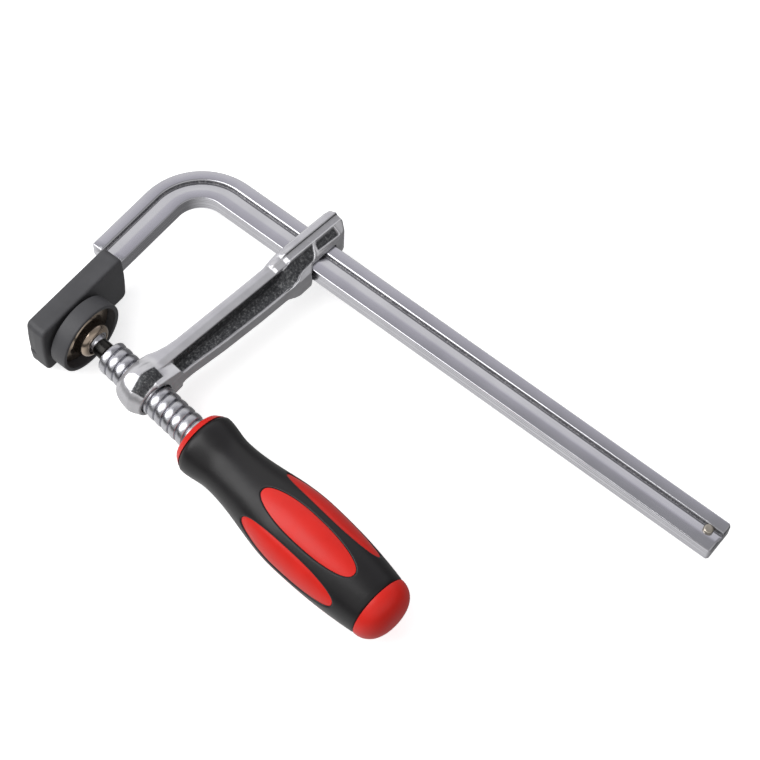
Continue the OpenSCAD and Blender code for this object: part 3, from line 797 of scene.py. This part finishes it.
def make_spindle(material):
    """Threaded spindle with its run-in cone, dark neck and ball."""
    thread_start, thread_full, thread_end, dark_end = 8.4, 13.2, 72.0, 10.8
    neck_r, ball_r = 4.3, 5.6
    per_turn, steps = 32, 72
    rows = int((thread_end - thread_start + THREAD_PITCH) / THREAD_PITCH * per_turn)
    points, dark = [], []
    for r in range(rows + 1):
        for k in range(steps):
            turn = k / steps
            s = thread_start + (r / per_turn - 1 + turn) * THREAD_PITCH
            s = min(max(s, thread_start), thread_end)
            phase = s / THREAD_PITCH - turn
            limit = neck_r + (CREST_R + 0.3 - neck_r) * float(step_up(s, thread_start + 1.8, thread_full))
            radius = min(thread_radius(phase), limit)
            way = 2 * math.pi * turn
            points.append((s, radius * math.sin(way), -radius * math.cos(way)))
            dark.append(float(s < dark_end))
    faces = bridge(rows + 1, steps)
    ball_line = [(-ball_r, 0)] + [(-ball_r * math.cos(a), ball_r * math.sin(a))
                                  for a in np.linspace(0.15, math.pi - math.asin(neck_r / ball_r), 20)]
    neck_line = ball_line + [(4.7, neck_r), (5.0, neck_r), (thread_start + 1.2, neck_r + 0.1),
                             (thread_start + 1.6, 0)]
    neck = revolve(neck_line, 64)
    dark += [float(p[0] > 4.9) for p in neck[0]]
    points, faces = join((points, faces), neck)
    end_cap = tuple(range(rows * steps, (rows + 1) * steps))
    faces += [end_cap, tuple(range(steps))[::-1]]
    spindle = make_piece("spindle_threaded", points, faces, "spindle", "spindle", material, "spindle_steel",
                         50, on_spindle)
    set_attribute(spindle, "dark", dark)


def make_pad(cap_material, plate_material):
    """Round pad: plastic cup with the pressed plate and its collar inside."""
    low, high = (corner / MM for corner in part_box("pad_cap"))
    radius, wall = high.y, 2.0
    line = [(low.x, 0), (low.x, radius), (high.x, radius), (high.x, radius - wall + 0.05),
            (low.x + wall, radius - wall), (low.x + wall, 0)]
    points, faces = revolve(rounded(line, 0.7), 144)
    make_piece("pad_cup", points, faces, "pad", "pad_cap", cap_material, "cap_plastic", 40)
    plate_low, plate_high = (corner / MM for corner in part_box("pressure_plate"))
    plate_r = plate_high.y
    thick, collar_r = 2.2, 8.7
    face = plate_low.x
    seat = ball_mm.x
    mouth_r, socket_r = 5.9, 5.78
    dome = [(seat + (plate_high.x - seat) * math.sin(a), mouth_r + (collar_r - mouth_r) * math.cos(a))
            for a in np.linspace(0, math.pi / 2, 9)]
    socket = [(seat - socket_r * math.sin(a), socket_r * math.cos(a))
              for a in np.linspace(0.12, math.pi / 2, 12)]
    line = [(face, 0), (face, plate_r), (face + thick - 0.3, plate_r - 0.3), (face + thick, plate_r - 1.6),
            (face + thick, collar_r + 1.8), (face + thick + 1.4, collar_r + 0.3), *dome,
            (plate_high.x - 0.4, 6.0), (seat + 2.3, 6.5), (seat, 6.95), (seat - 0.5, 6.7), *socket]
    points, faces = revolve(rounded(line, 0.8), 128)
    make_piece("pressure_plate_pressed", points, faces, "pad", "pressure_plate", plate_material,
               "plate_steel", 40)


# ---------------------------------------------------------------- handle

HANDLE_FRONT = 70.2
GRIP_START, GRIP_END = HANDLE_FRONT + 3.2, HANDLE_FRONT + 113.5
GRIP_WALL = 1.75
WINDOWS, WINDOW_MIDDLE = 6, HANDLE_FRONT + 72.5
WINDOW_HALF_LEN, WINDOW_HALF_ARC = 28.0, 7.1
FIRST_WINDOW, HALF_SECTOR = math.radians(-8), math.pi / WINDOWS
WINDOW_REACH, ARC_R = WINDOW_HALF_LEN + 7.0, 17.5
FRONT_R, FLARE_R, WAIST_R, BULGE_R, GRIP_END_R = 13.0, 15.8, 13.8, 19.3, 15.4
FLARE_AT, WAIST_AT, BULGE_AT = HANDLE_FRONT + 4.6, HANDLE_FRONT + 20, HANDLE_FRONT + 67


def sharp_radius(s):
    """Outer radius of the handle at a distance from the ball, as four stretches."""
    def ease(a, b, start, end):
        t = np.clip((s - start) / (end - start), 0, 1)
        return a + (b - a) * (1 - np.cos(np.pi * t)) / 2
    front = FRONT_R + (FLARE_R - FRONT_R) * (s - HANDLE_FRONT) / (FLARE_AT - HANDLE_FRONT)
    tail = BULGE_R - (BULGE_R - GRIP_END_R) * np.clip((s - BULGE_AT) / (GRIP_END - BULGE_AT), 0, 1) ** 2
    return np.where(s < FLARE_AT, front, np.where(s < WAIST_AT, ease(FLARE_R, WAIST_R, FLARE_AT, WAIST_AT),
                    np.where(s < BULGE_AT, ease(WAIST_R, BULGE_R, WAIST_AT, BULGE_AT), tail)))


def handle_radius(station):
    """The same outline with its corners softened."""
    wide = np.linspace(-1.6, 1.6, 9)
    weight = np.exp(-(wide / 1.0) ** 2)
    station = np.asarray(station, float)
    return sum(w * sharp_radius(station + d) for d, w in zip(wide, weight)) / weight.sum() - 0.03


def window_turn(index):
    """Where a window's middle lies, as an angle about the spindle."""
    return FIRST_WINDOW + index * 2 * HALF_SECTOR


def on_handle(station, turn, radius):
    """A point of the handle; its turn is measured from +Z towards +Y about the spindle."""
    return station, radius * math.sin(turn), radius * math.cos(turn)


def window_sector(spokes=64):
    """Spokes from a window's edge to the border of its sector, as pairs of (along, around) points.
    Around is in mm on the edge and in radians on the border."""
    def full(share):
        """Makes the window a little squarer than an ellipse."""
        return math.copysign(abs(share) ** 0.86, share)

    sector = []
    for k in range(spokes):
        angle = 2 * math.pi * k / spokes
        c, s = math.cos(angle), math.sin(angle)
        grow = 1 / max(abs(c), abs(s))
        edge = np.array([WINDOW_HALF_LEN * full(c), WINDOW_HALF_ARC * full(s)])
        border = np.array([WINDOW_REACH * c * grow, HALF_SECTOR * s * grow])
        sector.append((edge, border))
    return sector


def make_grip(material, sector):
    """The soft grip with its oval windows: an outer and an inner skin, joined at their open edges."""
    rings, lip, lip_drop = 9, 1.0, 0.75
    outer, known, quads = [], {}, []

    def vertex(station, turn, radius):
        """Number of the point at a place, which is made only once."""
        key = (round(station, 3), round((turn % (2 * math.pi)) * 1000) % 6283)
        if key not in known:
            known[key] = len(outer)
            outer.append(on_handle(station, turn, radius))
        return known[key]

    def ridge(distance):
        """How far the skin lies under the outline, near a window's rounded edge."""
        t = min(max(distance / lip, 0), 1)
        return lip_drop * (1 - math.sqrt(1 - (1 - t) ** 2))

    for index in range(WINDOWS):
        columns = []
        for edge, border in sector:
            way = np.array([border[0], border[1] * ARC_R]) - edge
            column = []
            for q in range(rings + 1):
                t = (q / rings) ** 1.6
                along, around = edge + way * t
                station = WINDOW_MIDDLE + along
                turn = window_turn(index) + (around / ARC_R if q < rings else border[1])
                radius = float(handle_radius(station)) - ridge(t * np.linalg.norm(way))
                column.append(vertex(station, turn, radius))
            columns.append(column)
        for here, following in zip(columns, columns[1:] + columns[:1]):
            for q in range(rings):
                quads.append((here[q], here[q + 1], following[q + 1], following[q]))
    turns = sorted({round((window_turn(index) + border[1]) % (2 * math.pi), 6)
                    for index in range(WINDOWS) for _, border in sector
                    if abs(abs(border[0]) - WINDOW_REACH) < 1e-6})
    for side, last in ((-1, GRIP_START), (1, GRIP_END)):
        first = WINDOW_MIDDLE + side * WINDOW_REACH
        steps = max(2, int(abs(last - first) / 1.5))
        rows = []
        for station in np.linspace(first, last, steps + 1):
            soft = 0.45 * max(0, 1 - abs(station - last) / 0.6) ** 2
            radius = float(handle_radius(station)) - soft
            rows.append([vertex(float(station), turn, radius) for turn in turns])
        for row, following in zip(rows, rows[1:]):
            for k in range(len(turns)):
                nxt = (k + 1) % len(turns)
                quad = (row[k], row[nxt], following[nxt], following[k])
                quads.append(quad if side > 0 else quad[::-1])
    outer_skin = np.array(outer)
    shrink = (handle_radius(outer_skin[:, 0]) - GRIP_WALL) / np.hypot(outer_skin[:, 1], outer_skin[:, 2])
    inner_skin = outer_skin * np.stack([np.ones_like(shrink), shrink, shrink], 1)
    count = len(outer)
    faces = quads + [tuple(v + count for v in quad[::-1]) for quad in quads]
    edges = dict.fromkeys((a, b) for quad in quads for a, b in zip(quad, quad[1:] + quad[:1]))
    faces += [(b, a, a + count, b + count) for a, b in edges if (b, a) not in edges]
    make_piece("handle_grip_soft", np.concatenate([outer_skin, inner_skin]), faces, "spindle",
               "handle_grip", material, "black_grip", 70, on_spindle)


def core_island(index, sector):
    """The closed oval island that fills a window: rings over its top and a skirt into the core."""
    rings, columns = 7, len(sector)
    top_drop, edge_drop, fit_along, fit_around = 0.35, 0.55, 0.997, 0.99

    def spot(edge, share, drop):
        """A point of the island, a share of the way from the window's middle to its edge."""
        station = WINDOW_MIDDLE + edge[0] * share * fit_along
        turn = window_turn(index) + edge[1] * share * fit_around / ARC_R
        return on_handle(station, turn, float(handle_radius(station)) - drop)

    points = []
    for q in range(rings):
        points += [spot(edge, 1 - q / rings, top_drop if q else edge_drop) for edge, _ in sector]
    centre, skirt = len(points), len(points) + 1
    points.append(spot((0, 0), 0, top_drop))
    points += [spot(edge, 1, GRIP_WALL + 0.6) for edge, _ in sector]
    bottom = len(points)
    points.append(spot((0, 0), 0, GRIP_WALL + 1.5))
    last = (rings - 1) * columns
    faces = []
    for k in range(columns):
        nxt = (k + 1) % columns
        for ring_start in range(0, last, columns):
            following = ring_start + columns
            faces.append((ring_start + k, ring_start + nxt, following + nxt, following + k))
        faces.append((last + k, last + nxt, centre))
        faces.append((nxt, k, skirt + k, skirt + nxt))
        faces.append((skirt + nxt, skirt + k, bottom))
    return points, faces


def make_core(material, sector):
    """The hard core: front ring, sleeve under the grip, domed end and an island in each window."""
    under_grip, dome_r, dome_len = GRIP_WALL + 0.05, float(handle_radius(GRIP_END)), 10.2
    line = [(HANDLE_FRONT, 0), (HANDLE_FRONT, float(handle_radius(HANDLE_FRONT)) - 0.2)]
    for station in np.linspace(HANDLE_FRONT + 0.5, GRIP_START - 0.05, 6):
        line.append((station, float(handle_radius(station))))
    for station in np.linspace(GRIP_START, GRIP_END, 90):
        line.append((station, float(handle_radius(station)) - under_grip))
    for a in np.linspace(0, math.pi / 2, 18):
        line.append((GRIP_END + 0.05 + dome_len * math.sin(a), max(dome_r * math.cos(a) ** 0.72, 0.0)))
    solid = revolve(line, 96)
    for index in range(WINDOWS):
        solid = join(solid, core_island(index, sector))
    make_piece("handle_core_hard", *solid, "spindle", "handle_core", material, "red_plastic", 50, on_spindle)


# ---------------------------------------------------------------- build

bpy.context.scene.view_settings.view_transform = "Standard"
make_camera()
make_world()
make_floor()
make_softbox()

cap_plastic = moulded("cap_plastic", (0.075, 0.075, 0.080), 0.50, 2600.0, 0.03)
make_bar(chrome_steel())
make_stop_pin(nickel_steel("pin_steel", (0.46, 0.42, 0.36), 0.28))
make_jaw_cap(cap_plastic)
make_arm(forged_steel())
make_spindle(spindle_steel())
make_pad(cap_plastic, nickel_steel("plate_steel", (0.42, 0.34, 0.27), 0.14))
sector = window_sector()
make_grip(moulded("black_grip", (0.012, 0.011, 0.012), 0.36, 2200.0, 0.035, 0.10), sector)
make_core(moulded("red_plastic", (0.80, 0.018, 0.010), 0.38, 1500.0, 0.02, 0.05), sector)
ring = frame["nodes"]["ball_retaining_ring"]
ring_material = nickel_steel("spring_steel", (0.45, 0.45, 0.47), 0.30)
for slot in ring.material_slots:
    slot.material = ring_material
